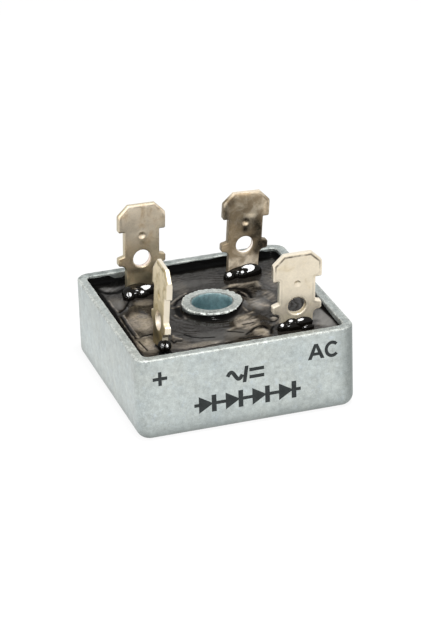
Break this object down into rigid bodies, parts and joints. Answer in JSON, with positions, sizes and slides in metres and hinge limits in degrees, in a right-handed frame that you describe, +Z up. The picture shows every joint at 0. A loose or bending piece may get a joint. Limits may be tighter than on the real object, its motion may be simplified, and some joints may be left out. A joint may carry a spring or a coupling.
{
  "type": "bridge rectifier",
  "caption": "Square metal-case bridge rectifier with a screw hole through its centre post, black potting and upright quick-connect lugs.",
  "frame": {"origin": "centre of the case's flat base", "axes": "+Z up along the screw bore, -Y towards the marked front face, +X to its right"},
  "size_m": [0.0286, 0.0286, 0.022],
  "materials": {
    "case": "satin, finely mottled",
    "potting_compound": "glossy cast epoxy",
    "base_insulator": "matte sheet",
    "terminal_metal": "tin-plated sheet",
    "silicon": "metallised chip",
    "solder": "dull"
  },
  "bodies": {
    "root": {"case": "case", "potting_compound": "potting_compound", "base_insulator": "base_insulator", "terminal_positive": "terminal_metal", "terminal_negative": "terminal_metal", "terminal_ac_front": "terminal_metal", "terminal_ac_back": "terminal_metal", "diode_chip_front": "silicon", "diode_chip_left": "silicon", "diode_chip_back": "silicon", "diode_chip_right": "silicon", "solder_lower_front": "solder", "solder_lower_left": "solder", "solder_lower_back": "solder", "solder_lower_right": "solder", "solder_upper_front": "solder", "solder_upper_left": "solder", "solder_upper_back": "solder", "solder_upper_right": "solder"}
  },
  "joints": []
}
